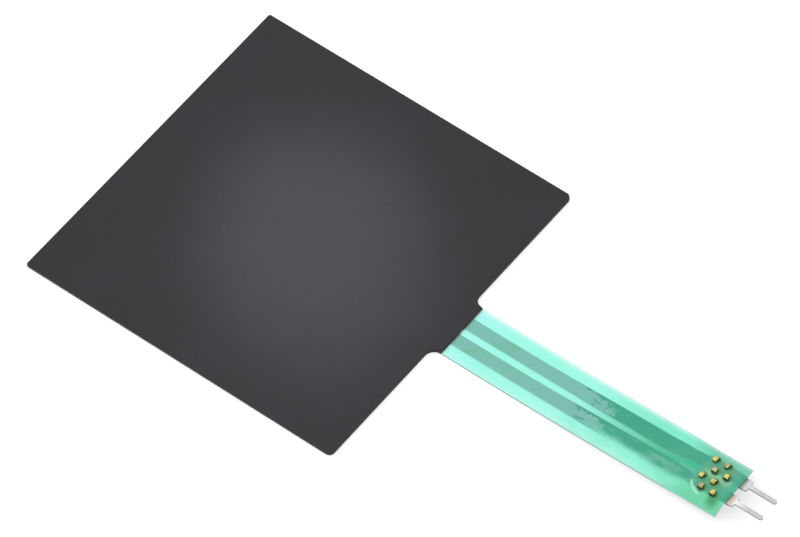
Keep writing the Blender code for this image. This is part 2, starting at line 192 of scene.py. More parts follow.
class TabLook(bpy.types.PropertyGroup):
    """Finish of the two solder tabs, with painted reflection and shade on the shoulders and claws.
    """

    tin: color_property("Tin", "Colour of the tin plating on the pins", srgb(204, 204, 201))
    # the two shoulder colours are painted reflection of the softbox, brighter on the right tab
    left_tin_sheen: color_property("Left tin", "Colour of the left shoulder", srgb(216, 215, 222))
    right_tin_sheen: color_property("Right tin", "Colour of the right shoulder", srgb(240, 240, 237))
    tin_side: color_property("Sheared side", "Colour of the sheared edges", srgb(198, 195, 192))
    brass: color_property("Brass", "Colour of the claws", srgb(228, 212, 124))
    # the paler claws carry a painted reflection of the sky
    sky_reflected_brass: color_property("Dull brass", "Colour of the duller claws", srgb(188, 188, 144))
    # painted shade on the claws' steep faces
    brass_shade: color_property("Brass side", "Colour of the claws' steep faces", srgb(118, 108, 44))
    left_stain: color_property("Left stain", "Oxide by the film, left tab", srgb(180, 180, 165))
    right_stain: color_property("Right stain", "Oxide by the film, right tab", srgb(208, 196, 182))
    roughness: share_property("Roughness", "Roughness of the plating", 0.24)
    edge_radius: length_property("Edge radius", "Rounding along the small chamfers", 0.003 * MM)


class RimSizes(bpy.types.PropertyGroup):
    """Lips of film round the claws."""

    claw_pitch: length_property("Claw pitch", "From one row of claws to the next", CLAW_PITCH)
    claw_span: length_property("Claw span", "Over the outer faces of a tab's claws", CLAW_SPAN)
    strip: length_property("Strip", "Thickness of the strip that claws are cut from", STRIP)
    setback: length_property("Setback", "From the tail's end to the last claws", CLAW_SETBACK)
    claw_width: length_property("Claw width", "Width of a claw in the film", 0.65 * MM)
    lip: length_property("Lip radius", "Radius of the raised lip of film", 0.05 * MM)


class StageLook(bpy.types.PropertyGroup):
    """Camera, lamps and floor."""

    camera_place: bpy.props.FloatVectorProperty(
        name="Camera place",
        description="Where the camera stands",
        default=(339.2 * MM, -360.7 * MM, 680.66 * MM),
        subtype="TRANSLATION",
        unit="LENGTH",
        precision=5,
    )
    camera_aim: bpy.props.FloatVectorProperty(
        name="Camera aim",
        description="Point on the floor that the camera looks at",
        default=(12.195 * MM, 2.76 * MM, 0.0),
        subtype="TRANSLATION",
        unit="LENGTH",
        precision=5,
    )
    camera_roll: bpy.props.FloatProperty(
        name="Camera roll",
        description="Turn of the camera about its own axis",
        default=math.radians(-4.66),
        subtype="ANGLE",
    )
    lens: bpy.props.FloatProperty(
        name="Lens", description="Focal length on a sensor 36 mm wide", default=337.2, unit="CAMERA"
    )
    sky: number_property("Sky", "Strength of the light from overhead", 1.0)
    horizon: number_property("Horizon", "Strength of the light from the horizon", 0.45)
    key: number_property("Key lamp", "Power of the large lamp at the picture's left", 1.8)
    sheen: number_property("Sheen lamp", "Power of the lamp that the pad reflects", 0.0024)
    floor_lift: number_property("Floor lift", "Light added to the floor in the picture", 0.58)


class Graph:
    """Shorthand for building a node tree."""

    def __init__(self, tree):
        self.tree = tree

    def node(self, kind, **settings):
        """Adds a node with the given settings."""
        made = self.tree.nodes.new(kind)
        for name, value in settings.items():
            setattr(made, name, value)
        return made

    def feed(self, socket, value):
        """Links an output to a socket, or sets the socket's own value."""
        if isinstance(value, bpy.types.NodeSocket):
            self.tree.links.new(value, socket)
        elif socket.type == "RGBA" and len(value) == 3:
            socket.default_value = (*value, 1.0)
        else:
            socket.default_value = value

    def made(self, kind, inputs, output=0, **settings):
        """Adds a node, feeds its inputs by name or number, and gives one of its outputs."""
        node = self.node(kind, **settings)
        for name, value in inputs.items():
            self.feed(node.inputs[name], value)
        return node.outputs[output]

    def math(self, operation, first, second=0.0, clamp=False):
        """One step of arithmetic on two numbers."""
        settings = {"operation": operation, "use_clamp": clamp}
        return self.made("ShaderNodeMath", {0: first, 1: second}, **settings)

    def mix(self, share, first, second):
        """Mixes two colours."""
        node = self.node("ShaderNodeMix", data_type="RGBA")
        self.feed(node.inputs["Factor"], share)
        self.feed(node.inputs[6], first)
        self.feed(node.inputs[7], second)
        return node.outputs[2]

    def blend(self, share, first, second):
        """Mixes two numbers."""
        node = self.node("ShaderNodeMix", data_type="FLOAT")
        self.feed(node.inputs["Factor"], share)
        self.feed(node.inputs[2], first)
        self.feed(node.inputs[3], second)
        return node.outputs[0]

    def ramp(self, value, start, end):
        """Smooth step from 0 at start to 1 at end."""
        inputs = {"Value": value, "From Min": start, "From Max": end}
        return self.made("ShaderNodeMapRange", inputs, interpolation_type="SMOOTHSTEP")

    def noise(self, vector, scale, detail=2.0, roughness=0.5):
        """Noise around one half, with the scale in waves per metre."""
        inputs = {"Vector": vector, "Scale": scale, "Detail": detail, "Roughness": roughness}
        return self.made("ShaderNodeTexNoise", inputs)

    def group(self, tree, inputs):
        """Places a node group, feeds its inputs and gives its outputs."""
        node = self.node("ShaderNodeGroup", node_tree=tree)
        for name, value in inputs.items():
            self.feed(node.inputs[name], value)
        return node.outputs


def new_group(name, inputs, outputs):
    """An empty shader node group with named sockets: its graph, its inputs and its outputs."""
    tree = bpy.data.node_groups.new(name, "ShaderNodeTree")
    for socket, kind in inputs.items():
        tree.interface.new_socket(socket, in_out="INPUT", socket_type=kind)
    for socket, kind in outputs.items():
        tree.interface.new_socket(socket, in_out="OUTPUT", socket_type=kind)
    graph = Graph(tree)
    return graph, graph.node("NodeGroupInput").outputs, graph.node("NodeGroupOutput").inputs


def soft_band_group():
    """Mask of a stripe: 1 between Low and High, with edges as wide as Softness."""
    name = "soft_band"
    if name in bpy.data.node_groups:
        return bpy.data.node_groups[name]
    float_socket = "NodeSocketFloat"
    inputs = {word: float_socket for word in ("Value", "Low", "High", "Softness")}
    graph, given, result = new_group(name, inputs, {"Mask": float_socket})
    rise_start = graph.math("SUBTRACT", given["Low"], given["Softness"])
    rise_end = graph.math("ADD", given["Low"], given["Softness"])
    fall_start = graph.math("SUBTRACT", given["High"], given["Softness"])
    fall_end = graph.math("ADD", given["High"], given["Softness"])
    rise = graph.ramp(given["Value"], rise_start, rise_end)
    fall = graph.ramp(given["Value"], fall_start, fall_end)
    graph.feed(result["Mask"], graph.math("SUBTRACT", rise, fall, clamp=True))
    return graph.tree


def film_surface_group():
    """Fine grain and slow waves of a plastic film: a bump height and a mask of soft clouds."""
    name = "film_surface"
    if name in bpy.data.node_groups:
        return bpy.data.node_groups[name]
    inputs = {"Vector": "NodeSocketVector", "Grain": "NodeSocketFloat", "Waves": "NodeSocketFloat"}
    outputs = {"Height": "NodeSocketFloat", "Clouds": "NodeSocketFloat"}
    graph, given, result = new_group(name, inputs, outputs)
    fine = graph.noise(given["Vector"], 7000.0, detail=3.0)
    wave = graph.noise(given["Vector"], 140.0, detail=2.0)
    cloud = graph.noise(given["Vector"], 90.0, detail=4.0)
    height = graph.math("MULTIPLY", fine, given["Grain"])
    swell = graph.math("MULTIPLY", wave, given["Waves"])
    graph.feed(result["Height"], graph.math("ADD", height, swell))
    graph.feed(result["Clouds"], graph.ramp(cloud, 0.35, 0.7))
    return graph.tree


class Finish:
    """A material under construction: its graph, its shader and its object coordinates."""

    def __init__(self, name):
        self.material = bpy.data.materials.new(name)
        self.material.use_nodes = True
        self.graph = Graph(self.material.node_tree)
        self.shader = self.material.node_tree.nodes["Principled BSDF"]
        self.place = self.graph.node("ShaderNodeTexCoord").outputs["Object"]
        apart = self.graph.node("ShaderNodeSeparateXYZ")
        self.graph.feed(apart.inputs[0], self.place)
        self.x, self.y, self.z = apart.outputs

    def set(self, **values):
        """Feeds inputs of the shader, named with underscores for their spaces."""
        for name, value in values.items():
            self.graph.feed(self.shader.inputs[name.replace("_", " ")], value)

    def surface(self, grain, waves):
        """Bumps the shader with the film surface and gives its clouds."""
        inputs = {"Vector": self.place, "Grain": grain, "Waves": waves}
        film = self.graph.group(film_surface_group(), inputs)
        bump = {"Height": film["Height"], "Strength": 1.0, "Distance": 1.0}
        self.set(Normal=self.graph.made("ShaderNodeBump", bump))
        return film["Clouds"]

    def band(self, value, low, high, softness):
        """Soft-edged stripe: 1 where the value lies between low and high."""
        inputs = {"Value": value, "Low": low, "High": high, "Softness": softness}
        return self.graph.group(soft_band_group(), inputs)["Mask"]

    def on_sides(self):
        """Mask of faces that stand upright, such as a film's cut edge."""
        normal = self.graph.node("ShaderNodeNewGeometry").outputs["Normal"]
        apart = self.graph.node("ShaderNodeSeparateXYZ")
        self.graph.feed(apart.inputs[0], normal)
        upright = self.graph.math("ABSOLUTE", apart.outputs["Z"])
        return self.graph.math("SUBTRACT", 1.0, self.graph.ramp(upright, 0.35, 0.75))


def dress(node, material):
    """Gives a solid of the frame its material."""
    slots = NODES[node].data.materials
    slots.clear()
    slots.append(material)


def black_film(look):
    """Satin black film with a fine grain and faint clouds."""
    finish = Finish("black_film")
    clouds = finish.surface(look.grain, 0.004 * MM)
    finish.set(Base_Color=finish.graph.mix(clouds, look.film, look.film_cloud))
    uneven, swing = finish.graph.noise(finish.place, 2600.0), 0.03
    smoother, rougher = look.film_roughness - swing, look.film_roughness + swing
    finish.set(Roughness=finish.graph.blend(uneven, smoother, rougher))
    return finish.material


def dark_spacer(look):
    """Dark, slightly uneven adhesive, seen as the line along the pad's cut edge."""
    finish = Finish("dark_spacer")
    clouds = finish.surface(0.002 * MM, 0.0)
    lighter = tuple(min(channel * 1.6, 1.0) for channel in look.spacer)
    finish.set(Base_Color=finish.graph.mix(clouds, look.spacer, lighter), Roughness=0.55)
    return finish.material


def carbon_ink(look):
    """Matte carbon ink with the weave that the printing screen leaves."""
    finish = Finish("carbon_ink")
    clouds = finish.surface(0.006 * MM, 0.0)
    lighter = tuple(channel * 1.5 for channel in look.carbon)
    finish.set(Base_Color=finish.graph.mix(clouds, look.carbon, lighter), Roughness=0.7)
    return finish.material


def rear_glue(look):
    """Clear adhesive with faint trapped haze."""
    finish = Finish("rear_glue")
    clouds = finish.surface(0.004 * MM, 0.01 * MM)
    hazy = finish.graph.blend(clouds, look.glue_alpha, min(look.glue_alpha + 0.12, 1.0))
    finish.set(Base_Color=look.glue, Roughness=0.4, Alpha=hazy)
    return finish.material


def cut_edge_color(finish, look):
    """Cut edge of the tail: a darker line that fades into the painted glare colour on the long
    sides beside the claws.
    """
    graph, x = finish.graph, finish.x
    at_end = graph.math("GREATER_THAN", x, TAIL_END_X - 0.05 * MM)
    dark_end = graph.math("MULTIPLY", at_end, graph.ramp(finish.y, -2.4 * MM, -1.6 * MM))
    faded = graph.math("SUBTRACT", graph.ramp(x, 53 * MM, 57 * MM), dark_end, clamp=True)
    return graph.mix(faded, look.film_edge, look.glare)


def clear_film(look):
    """Clear polyester with a faint mint cast and a darker cut edge, painted shade under the pad and
    fading into painted glare along the tail.
    """
    finish = Finish("clear_film")
    clouds = finish.surface(0.0006 * MM, 0.006 * MM)
    sides = finish.on_sides()
    under_pad, shaded_edge = finish.graph.math("LESS_THAN", finish.x, NECK_X), srgb(40, 46, 46)
    edge_color = finish.graph.mix(under_pad, cut_edge_color(finish, look), shaded_edge)
    finish.set(Base_Color=finish.graph.mix(sides, look.film, edge_color))
    hazy = finish.graph.blend(clouds, look.film_alpha, look.film_alpha + 0.06)
    finish.set(Alpha=finish.graph.blend(sides, hazy, 0.92), Roughness=0.12)
    return finish.material


def silver_ink(look):
    """Printed silver: a fine screen weave, slightly metallic."""
    finish = Finish("silver_ink")
    clouds = finish.surface(0.003 * MM, 0.0)
    darker = tuple(channel * 0.8 for channel in look.silver)
    finish.set(Base_Color=finish.graph.mix(clouds, look.silver, darker))
    finish.set(Metallic=0.35, Roughness=0.45)
    return finish.material


def trace_mask(finish):
    """Mask of the two traces: crisp left edges, softer right ones that carry a painted shadow of
    the print, and ragged at the far right.
    """
    graph, x, y = finish.graph, finish.x, finish.y
    crisp_half, soft_half = 0.07 * MM, 0.16 * MM
    widened = graph.math("MULTIPLY", graph.ramp(x, 30 * MM, 50 * MM), 0.2 * MM)
    widened = graph.math("MULTIPLY", widened, graph.ramp(x, 54.0 * MM, 51.8 * MM))
    drawn_in = graph.math("MULTIPLY", finish.band(x, 53.9 * MM, 56.9 * MM, 0.9 * MM), 0.14 * MM)
    left_edge = graph.math("ADD", graph.math("SUBTRACT", widened, drawn_in), TRACE_LEFT)
    right_edge = 0.36 * MM
    across = graph.math("FLOORED_MODULO", y, TAB_PITCH)
    # the softer right edge is a painted shadow of the print
    rise = graph.ramp(across, right_edge - soft_half, right_edge + soft_half)
    past_left = graph.math("SUBTRACT", across, left_edge)
    crisp = graph.math("MULTIPLY", rise, graph.ramp(past_left, crisp_half, -crisp_half))
    off_centre = graph.math("ABSOLUTE", y)
    crisp = graph.math("MULTIPLY", crisp, graph.math("LESS_THAN", off_centre, TAB_PITCH))
    mottle = graph.math("MULTIPLY", graph.noise(finish.place, 800.0, 4.0, 0.6), 0.7 * MM)
    uneven = graph.math("ADD", off_centre, mottle)
    spread = graph.math("MULTIPLY", graph.ramp(x, 48 * MM, 54 * MM), 0.35 * MM)
    ragged = finish.band(uneven, 0.4 * MM, graph.math("ADD", 2.25 * MM, spread), 0.6 * MM)
    on_right = graph.ramp(y, -0.3 * MM, -0.6 * MM)
    outer_half = graph.math("LESS_THAN", y, -1.2 * MM)
    far_out = finish.band(x, 43.5 * MM, 55.5 * MM, 2.5 * MM)
    far_right = graph.math("MULTIPLY", graph.math("MULTIPLY", on_right, outer_half), far_out)
    return graph.blend(far_right, crisp, ragged)


def lane_color(finish, look, clouds):
    """Coat over bare film: mint at the root, then another green in each lane of the tail, darker
    further out as painted shade of the tail lifting off the floor, darkest between the traces as
    their painted shadow, with painted glare along the edges.
    """
    graph, x, y = finish.graph, finish.x, finish.y
    mint = graph.mix(graph.ramp(x, 30 * MM, 23 * MM), look.mint, look.root)
    # painted shade: each lane turns darker further out, where the tail lifts off the floor
    left = graph.mix(graph.ramp(x, 38 * MM, 50 * MM), mint, look.left_lane)
    left_end = graph.mix(graph.ramp(y, 2.7 * MM, 3.7 * MM), look.left_end, look.left_rim)
    left = graph.mix(graph.ramp(x, 52 * MM, 57 * MM), left, left_end)
    middle = graph.mix(graph.ramp(x, 36 * MM, 54 * MM), mint, look.middle_lane)
    right = graph.mix(graph.ramp(x, 36 * MM, 46 * MM), mint, look.right_lane)
    blotches = graph.ramp(graph.noise(finish.place, 1000.0, 3.0), 0.45, 0.62)
    blotches = graph.math("MULTIPLY", blotches, finish.band(x, 39 * MM, 48 * MM, 2 * MM))
    right = graph.mix(graph.math("MULTIPLY", blotches, 0.5), right, look.left_lane)
    right_end = graph.mix(graph.ramp(y, -3.3 * MM, -3.9 * MM), look.right_end, look.right_rim)
    right = graph.mix(graph.ramp(x, 49 * MM, 58 * MM), right, right_end)
    color = graph.mix(graph.ramp(y, -0.2 * MM, 0.2 * MM), right, left)
    between_traces = finish.band(y, -0.6 * MM, 0.6 * MM, 0.3 * MM)
    color = graph.mix(between_traces, color, middle)
    # painted glare: a tenth of it in the clouds, more along both edges before the climb
    color = graph.mix(graph.math("MULTIPLY", clouds, 0.1), color, look.glare)
    before_climb = graph.ramp(x, 55.5 * MM, 51 * MM)
    left_glare = graph.ramp(y, 2.95 * MM, 4.25 * MM)
    right_glare = graph.math("MULTIPLY", graph.ramp(y, -2.8 * MM, -3.8 * MM), 0.2)
    glare = graph.math("MULTIPLY", graph.math("ADD", left_glare, right_glare), before_climb)
    return graph.mix(glare, color, look.glare)


def drawn_out(finish, squeeze):
    """Object coordinates squeezed along the tail, which draws out a noise that reads them."""
    inputs = {"Vector": finish.place, "Scale": (squeeze, 1.0, 1.0)}
    return finish.graph.made("ShaderNodeMapping", inputs)


def trace_color(finish, look):
    """Coat over the traces: a painted reflection of the softbox as far as a ragged border, then
    clear, with a deeper green painted shadow on their right sides and cloudy streaks.
    """
    graph, x, y = finish.graph, finish.x, finish.y
    patches = graph.ramp(graph.noise(finish.place, 420.0, 3.0), 0.5, 0.68)
    near_root = graph.ramp(x, 38 * MM, 26 * MM)
    # painted reflection of the softbox over the traces, with greener patches near the root
    hazy = graph.mix(graph.math("MULTIPLY", patches, near_root), look.reflected_trace, look.reflected_patch)
    ragged = graph.math("MULTIPLY", graph.noise(finish.place, 900.0, 4.0, 0.65), 14.0 * MM)
    from_right = graph.math("FLOORED_MODULO", graph.math("ADD", y, TRACE_LEFT), TAB_PITCH)
    lead = graph.math("MULTIPLY", graph.ramp(from_right, 0.9 * MM, 1.75 * MM), 3.5 * MM)
    border = graph.math("ADD", graph.math("ADD", x, ragged), lead)
    color = graph.mix(graph.ramp(border, 49.3 * MM, 51.9 * MM), hazy, look.clear_trace)
    specks = graph.ramp(graph.noise(drawn_out(finish, 0.4), 1400.0), 0.58, 0.7)
    line = finish.band(from_right, 1.5 * MM, 1.75 * MM, 0.12 * MM)
    near_border = finish.band(x, 39.5 * MM, 44 * MM, 2.5 * MM)
    flecks = graph.math("MULTIPLY", graph.math("MAXIMUM", specks, line), near_border)
    color = graph.mix(graph.math("MULTIPLY", flecks, 0.7), color, look.fleck)
    # painted shadow of the print, deeper green on the traces' right sides where the tail lifts
    right_side = graph.math("MULTIPLY", graph.ramp(from_right, 1.0 * MM, 0.2 * MM), 0.6)
    trace_shadow_share = graph.math("MULTIPLY", right_side, finish.band(x, 47 * MM, 56 * MM, 3 * MM))
    color = graph.mix(trace_shadow_share, color, look.trace_shadow)
    wisps = graph.ramp(graph.noise(drawn_out(finish, 0.3), 700.0, 4.0, 0.6), 0.42, 0.6)
    far_out = finish.band(x, 44 * MM, 58 * MM, 2.5 * MM)
    on_right_trace = finish.band(y, -2.6 * MM, -0.6 * MM, 0.4 * MM)
    streaks = graph.math("MULTIPLY", wisps, graph.math("MULTIPLY", far_out, on_right_trace))
    return graph.mix(streaks, color, look.streak)


def claw_shade_spots(finish, first_row, side):
    """Mask of soft spots of painted shade round the claws on one side of each tab, set off a little
    along the tail; they fill every other row.
    """
    graph = finish.graph
    shade_offset = 0.105 * MM
    past_first = graph.math("SUBTRACT", finish.x, claw_row(first_row) + shade_offset)
    along = graph.math("PINGPONG", past_first, CLAW_PITCH)
    from_middle = graph.math("SUBTRACT", finish.y, side * (CLAW_SPAN - STRIP) / 2)
    across = graph.math("SUBTRACT", graph.math("ABSOLUTE", from_middle), TAB_PITCH / 2)
    flat = graph.made("ShaderNodeCombineXYZ", {"X": along, "Y": across, "Z": 0.0})
    distance = graph.made("ShaderNodeVectorMath", {0: flat}, 1, operation="LENGTH")
    near = graph.ramp(distance, 0.54 * MM, 0.26 * MM)
    on_claws = finish.band(past_first, -CLAW_PITCH, 3 * CLAW_PITCH, 0.05 * MM)
    return graph.math("MULTIPLY", near, on_claws)


def distance_from(finish, x, y):
    """Distance from a point of the tail, seen from above."""
    graph = finish.graph
    arm = graph.made("ShaderNodeVectorMath", {0: finish.place, 1: (x, y, 0)}, operation="SUBTRACT")
    flat = graph.made("ShaderNodeVectorMath", {0: arm, 1: (1, 1, 0)}, operation="MULTIPLY")
    return graph.made("ShaderNodeVectorMath", {0: flat}, 1, operation="LENGTH")


def crimp_color(finish, look, color):
    """Coat over the tabs' plates: duller, with painted reflections of the brass claws, painted
    shade round the claws and by the last claw, and one painted highlight arc over a plate's back
    edge.
    """
    graph, x, y = finish.graph, finish.x, finish.y
    along_plates = finish.band(x, 56.2 * MM, 60.6 * MM, 0.4 * MM)
    across_plates = finish.band(y, -2.2 * MM, 2.2 * MM, 0.4 * MM)
    plates = graph.math("MULTIPLY", along_plates, across_plates)
    # patches of painted reflection of the brass claws
    reflection_patches = graph.ramp(graph.noise(finish.place, 1300.0, 3.0, 0.6), 0.4, 0.65)
    claw_reflection_share = graph.math("MULTIPLY", reflection_patches, finish.band(x, 56.9 * MM, 59.8 * MM, 0.4 * MM))
    plate_color = graph.mix(claw_reflection_share, look.crimp, look.claw_reflection)
    color = graph.mix(graph.math("MULTIPLY", plates, 0.8), color, plate_color)
    ridge = finish.band(y, -0.35 * MM, 0.45 * MM, 0.35 * MM)
    ridge = graph.math("MULTIPLY", ridge, finish.band(x, 56.8 * MM, 60.2 * MM, 0.6 * MM))
    color = graph.mix(graph.math("MULTIPLY", ridge, 0.9), color, look.crimp_ridge)
    # painted shade round the claws
    claw_shade = graph.math("MAXIMUM", claw_shade_spots(finish, 0, 1), claw_shade_spots(finish, 1, -1))
    color = graph.mix(graph.math("MULTIPLY", claw_shade, 0.8), color, look.claw_shade)
    # painted shade: deeper green spot under the last claw
    from_last_claw_shade = distance_from(finish, 59.8 * MM, -2.6 * MM)
    color = graph.mix(graph.ramp(from_last_claw_shade, 1.2 * MM, 0.1 * MM), color, look.last_claw_shade)
    # painted highlight: bright arc over the back edge of one plate
    from_highlight_centre = distance_from(finish, 58.0 * MM, -0.83 * MM)
    highlight_arc = finish.band(from_highlight_centre, 1.75 * MM, 1.95 * MM, 0.15 * MM)
    highlight_arc = graph.math("MULTIPLY", highlight_arc, graph.ramp(x, 58.3 * MM, 57.5 * MM))
    highlight_arc = graph.math("MULTIPLY", highlight_arc, graph.ramp(y, -1.5 * MM, -1.9 * MM))
    return graph.mix(highlight_arc, color, look.bulge)


def green_coat(look):
    """Clear green coat: mint over bare film, deeper over the traces, strained at the tabs."""
    finish = Finish("green_coat")
    graph = finish.graph
    clouds = finish.surface(0.0004 * MM, 0.02 * MM)
    over_trace = trace_mask(finish)
    color = graph.mix(over_trace, lane_color(finish, look, clouds), trace_color(finish, look))
    color = crimp_color(finish, look, color)
    finish.set(Base_Color=graph.mix(finish.on_sides(), color, cut_edge_color(finish, look)))
    finish.set(Alpha=graph.blend(over_trace, look.coat_alpha, look.trace_alpha))
    finish.set(Roughness=look.roughness)
    return finish.material


def on_claw_row(finish, index):
    """Mask of one row of claws."""
    middle, half = claw_row(index), CLAW_PITCH / 2
    return finish.band(finish.x, middle - half, middle + half, 0.1 * MM)


def tab_metal(look):
    """Tin-plated strip, brass on the curled claws and stained next to the film; painted reflection
    brightens the shoulders and the paler claws, painted shade darkens the claws' steep faces.
    """
    finish = Finish("tab_metal")
    graph, x, y = finish.graph, finish.x, finish.y
    finish.surface(0.0016 * MM, 0.012 * MM)
    sides = finish.on_sides()
    wander = graph.math("MULTIPLY", graph.noise(finish.place, 1500.0), 0.3 * MM)
    ragged = graph.math("ADD", x, wander)
    # painted reflection of the softbox on the shoulders, one colour per tab
    on_left = graph.math("GREATER_THAN", y, 0.0)
    tin_sheen = graph.mix(on_left, look.right_tin_sheen, look.left_tin_sheen)
    tin = graph.mix(graph.ramp(ragged, 64.0 * MM, 62.4 * MM), look.tin, tin_sheen)
    stain = graph.mix(on_left, look.right_stain, look.left_stain)
    slanted = graph.math("ADD", ragged, graph.math("MULTIPLY", y, 0.08))
    tin = graph.mix(graph.ramp(slanted, 61.95 * MM, 61.75 * MM), tin, stain)
    tin = graph.mix(sides, tin, look.tin_side)
    # painted reflection of the sky on the paler claws
    second_claws, third_claws = on_claw_row(finish, 1), on_claw_row(finish, 2)
    on_left_tab = graph.math("GREATER_THAN", y, TAB_PITCH / 2)
    third_claw = graph.math("MULTIPLY", third_claws, on_left_tab)
    sky_reflection_share = graph.math("MULTIPLY", graph.math("ADD", second_claws, third_claw, clamp=True), 0.85)
    brass = graph.mix(sky_reflection_share, look.brass, look.sky_reflected_brass)
    tarnish = graph.ramp(graph.noise(finish.place, 2600.0), 0.45, 0.7)
    tarnish = graph.math("MULTIPLY", tarnish, 0.5)
    # painted shade on the claws' steep faces; the tarnish patches darken the tops towards the same
    # colour
    brass = graph.mix(graph.math("MAXIMUM", sides, tarnish), brass, look.brass_shade)
    in_crimp = graph.ramp(x, 60.3 * MM, 60.1 * MM)
    over_film = graph.ramp(finish.z, 2.05 * MM, 2.2 * MM)
    metal = graph.mix(graph.math("MULTIPLY", in_crimp, over_film), tin, brass)
    finish.set(Base_Color=metal, Metallic=1.0, Roughness=look.roughness)
    return finish.material


def torn_film(look):
    """Film drawn up round a claw: between the painted claw shade and the coat's colour, paler where
    it is stretched.
    """
    finish = Finish("torn_film")
    clouds = finish.surface(0.001 * MM, 0.0)
    finish.set(Base_Color=finish.graph.mix(clouds, look.claw_shade, look.crimp))
    finish.set(Alpha=0.85, Roughness=0.2)
    return finish.material


def merged_copy(node, flatten):
    """Copy of a solid's mesh with its loose triangles merged and, to flatten, level ones joined."""
    mesh = NODES[node].data.copy()
    joined = bmesh.new()
    joined.from_mesh(mesh)
    bmesh.ops.remove_doubles(joined, verts=joined.verts, dist=0.0001 * MM)
    if flatten:
        level, edges = math.radians(0.5), joined.edges
        bmesh.ops.dissolve_limit(joined, angle_limit=level, verts=joined.verts, edges=edges)
    joined.to_mesh(mesh)
    joined.free()
    return mesh


def stand_in(node, mesh, material):
    """Puts a finer mesh in the place of a solid of the frame."""
    mesh.materials.clear()
    mesh.materials.append(material)
    piece = bpy.data.objects.new(node + "_surface", mesh)
    bpy.context.scene.collection.objects.link(piece)
    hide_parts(node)
    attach(piece, "root")


def smooth_film(node, material):
    """Replaces a bent film by a copy whose bend is shaded smooth."""
    mesh = merged_copy(node, flatten=False)
    mesh.shade_smooth()
    mesh.set_sharp_from_angle(angle=math.radians(30))
    stand_in(node, mesh, material)


def rounded_metal(node, material, radius):
    """Replaces a stamped solid by a copy whose chamfers blend into its faces."""
    raw = bpy.data.objects.new(node + "_raw", merged_copy(node, flatten=True))
    bpy.context.scene.collection.objects.link(raw)
    sharp = math.radians(40)
    bevel = raw.modifiers.new("round", "BEVEL")
    bevel.width = radius
    bevel.segments = 3
    bevel.angle_limit = sharp
    evaluated = raw.evaluated_get(bpy.context.evaluated_depsgraph_get())
    mesh = bpy.data.meshes.new_from_object(evaluated)
    bpy.data.objects.remove(raw)
    mesh.shade_smooth()
    mesh.set_sharp_from_angle(angle=sharp)
    stand_in(node, mesh, material)


def coat_tree():
    """Search tree of the coat's faces."""
    mesh = NODES["cover_coat"].data
    corners = [vert.co for vert in mesh.vertices]
    return BVHTree.FromPolygons(corners, [face.vertices for face in mesh.polygons])


def on_coat(tree, x, y):
    """Point on top of the coat, straight below (x, y)."""
    place = tree.ray_cast(Vector((x, y, CAD_BOX[1].z + MM)), Vector((0, 0, -1)))[0]
    if place is None:
        raise RuntimeError(f"nothing of the coat lies below {x}, {y}")
    return place


def points_mesh(name, points):
    """Mesh of loose points."""
    mesh = bpy.data.meshes.new(name)
    mesh.from_pydata([tuple(point) for point in points], [], [])
    return mesh


def new_geometry_tree(name, inputs):
    """A Geometry Nodes tree with a geometry input and output and the named inputs."""
    tree = bpy.data.node_groups.new(name, "GeometryNodeTree")
    tree.interface.new_socket("Geometry", in_out="INPUT", socket_type="NodeSocketGeometry")
    tree.interface.new_socket("Geometry", in_out="OUTPUT", socket_type="NodeSocketGeometry")
    for socket, kind in inputs.items():
        tree.interface.new_socket(socket, in_out="INPUT", socket_type=kind)
    graph = Graph(tree)
    return graph, graph.node("NodeGroupInput").outputs, graph.node("NodeGroupOutput").inputs


def grown(name, mesh, tree, values):
    """Runs a Geometry Nodes tree on a mesh and gives the result as a plain mesh object."""
    seed = bpy.data.objects.new(name + "_seed", mesh)
    bpy.context.scene.collection.objects.link(seed)
    modifier = seed.modifiers.new("grow", "NODES")
    modifier.node_group = tree
    for item in tree.interface.items_tree:
        if item.name in values:
            modifier[item.identifier] = values[item.name]
    graph = bpy.context.evaluated_depsgraph_get()
    result = bpy.data.meshes.new_from_object(seed.evaluated_get(graph))
    bpy.data.objects.remove(seed)
    piece = bpy.data.objects.new(name, result)
    result.name = name
    bpy.context.scene.collection.objects.link(piece)
    return piece


def rim_tree(material):
    """An oval lip on each point."""
    inputs = {word: "NodeSocketFloat" for word in ("Length", "Width", "Lip")}
    graph, given, result = new_geometry_tree("pierce_rims", inputs)
    ring = graph.made("GeometryNodeCurvePrimitiveCircle", {"Resolution": 28, "Radius": 0.5})
    oval = graph.made("ShaderNodeCombineXYZ", {"X": given["Length"], "Y": given["Width"], "Z": 1.0})
    ring = graph.made("GeometryNodeTransform", {"Geometry": ring, "Scale": oval})
    round_bead = {"Resolution": 8, "Radius": given["Lip"]}
    profile = graph.made("GeometryNodeCurvePrimitiveCircle", round_bead)
    lip = graph.made("GeometryNodeCurveToMesh", {"Curve": ring, "Profile Curve": profile})
    at_claws = {"Points": given["Geometry"], "Instance": lip}
    lips = graph.made("GeometryNodeInstanceOnPoints", at_claws)
    lips = graph.made("GeometryNodeRealizeInstances", {"Geometry": lips})
    lips = graph.made("GeometryNodeSetShadeSmooth", {"Geometry": lips})
    lips = graph.made("GeometryNodeSetMaterial", {"Geometry": lips, "Material": material})
    graph.feed(result["Geometry"], lips)
    return graph.tree


class FORCE_OT_dress_pad(bpy.types.Operator):
    """Finish the layers of the square pad."""

    bl_idname = "force_sensor.dress_pad"
    bl_label = "Dress Pad"

    def execute(self, context):
        look = context.scene.pad_look
        dress("top_film", black_film(look))
        dress("spacer_adhesive", dark_spacer(look))
        dress("semiconductor_ink", carbon_ink(look))
        dress("rear_adhesive", rear_glue(look))
        return {"FINISHED"}


